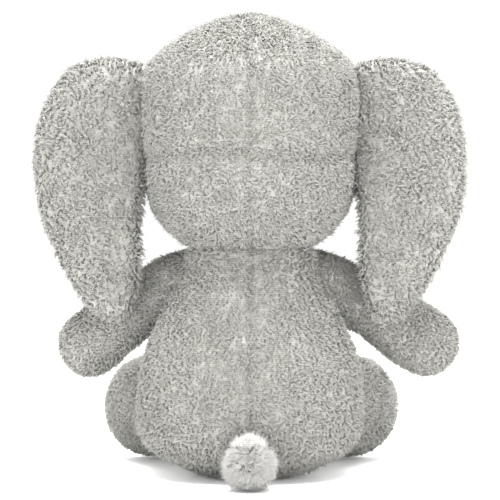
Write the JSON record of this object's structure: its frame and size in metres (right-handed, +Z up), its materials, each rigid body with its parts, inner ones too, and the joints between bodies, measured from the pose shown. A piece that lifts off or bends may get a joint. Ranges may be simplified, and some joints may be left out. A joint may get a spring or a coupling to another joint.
{
  "type": "stuffed elephant",
  "caption": "Seated fleecy plush elephant with wide drooping ears, jointed soft head, arms, legs and trunk, and a round pom-pom tail.",
  "frame": {"origin": "middle of the toy seen from above, on the surface it sits on", "axes": "+Z up, -Y the way the face looks, +X the toy's own left"},
  "size_m": [0.2794, 0.2299, 0.3007],
  "materials": {
    "grey_plush": "matte",
    "ear_lining": "matte",
    "sole_cloth": "matte",
    "white_plush": "matte",
    "tie_thread": "matte",
    "stuffing": "matte",
    "pouch_cloth": "matte",
    "pellet_plastic": "satin",
    "eye_plastic": "gloss",
    "washer_plastic": "satin"
  },
  "bodies": {
    "torso": {"back_left": "grey_plush", "back_right": "grey_plush", "belly_left": "grey_plush", "belly_right": "grey_plush", "seat": "grey_plush", "torso_stuffing": "stuffing", "pellet_pouch": "pouch_cloth", "pellets": "pellet_plastic"},
    "head": {"head_back_left": "grey_plush", "head_back_right": "grey_plush", "face_left": "grey_plush", "face_right": "grey_plush", "neck_collar": "grey_plush", "head_stuffing": "stuffing", "left_eye": "eye_plastic", "right_eye": "eye_plastic", "left_eye_washer": "washer_plastic", "right_eye_washer": "washer_plastic"},
    "trunk": {"trunk_left": "grey_plush", "trunk_right": "grey_plush", "trunk_stuffing": "stuffing"},
    "left_ear": {"left_ear_back": "grey_plush", "left_ear_front": "ear_lining", "left_ear_wadding": "stuffing"},
    "right_ear": {"right_ear_back": "grey_plush", "right_ear_front": "ear_lining", "right_ear_wadding": "stuffing"},
    "left_arm": {"left_arm_back": "grey_plush", "left_arm_front": "grey_plush", "left_arm_stuffing": "stuffing"},
    "right_arm": {"right_arm_back": "grey_plush", "right_arm_front": "grey_plush", "right_arm_stuffing": "stuffing"},
    "left_leg": {"left_leg_top": "grey_plush", "left_leg_under": "grey_plush", "left_leg_stuffing": "stuffing", "left_foot_sole": "sole_cloth"},
    "right_leg": {"right_leg_top": "grey_plush", "right_leg_under": "grey_plush", "right_leg_stuffing": "stuffing", "right_foot_sole": "sole_cloth"},
    "tail": {"tail_pompom": "white_plush", "tail_tie": "tie_thread"}
  },
  "joints": [
    {"name": "neck_nod", "type": "hinge", "parent": "torso", "child": "head", "pos_m": [0, 0.01946, 0.142], "axis": [1, 0, 0], "range_deg": [-3, 8]},
    {"name": "left_ear_flap", "type": "hinge", "parent": "head", "child": "left_ear", "pos_m": [0.073, 0.02746, 0.2], "axis": [0, -0.0872, 0.9962], "range_deg": [-5, 28]},
    {"name": "right_ear_flap", "type": "hinge", "parent": "head", "child": "right_ear", "pos_m": [-0.073, 0.02746, 0.2], "axis": [0, 0.0872, -0.9962], "range_deg": [-5, 28]},
    {"name": "trunk_curl", "type": "hinge", "parent": "head", "child": "trunk", "pos_m": [0, -0.04654, 0.203], "axis": [-1, 0, 0], "range_deg": [0, 50]},
    {"name": "left_arm_swing", "type": "hinge", "parent": "torso", "child": "left_arm", "pos_m": [0.051, 0.01146, 0.122], "axis": [-1, 0, 0], "range_deg": [0, 60]},
    {"name": "right_arm_swing", "type": "hinge", "parent": "torso", "child": "right_arm", "pos_m": [-0.051, 0.01146, 0.122], "axis": [-1, 0, 0], "range_deg": [0, 60]},
    {"name": "left_leg_lift", "type": "hinge", "parent": "torso", "child": "left_leg", "pos_m": [0.038, -0.02654, 0.0371], "axis": [-1, 0, 0], "range_deg": [0, 20]},
    {"name": "right_leg_lift", "type": "hinge", "parent": "torso", "child": "right_leg", "pos_m": [-0.038, -0.02654, 0.0371], "axis": [-1, 0, 0], "range_deg": [0, 20]},
    {"name": "tail_wag", "type": "hinge", "parent": "torso", "child": "tail", "pos_m": [0, 0.07396, 0.019], "axis": [0, 0, 1], "range_deg": [-15, 15]}
  ]
}
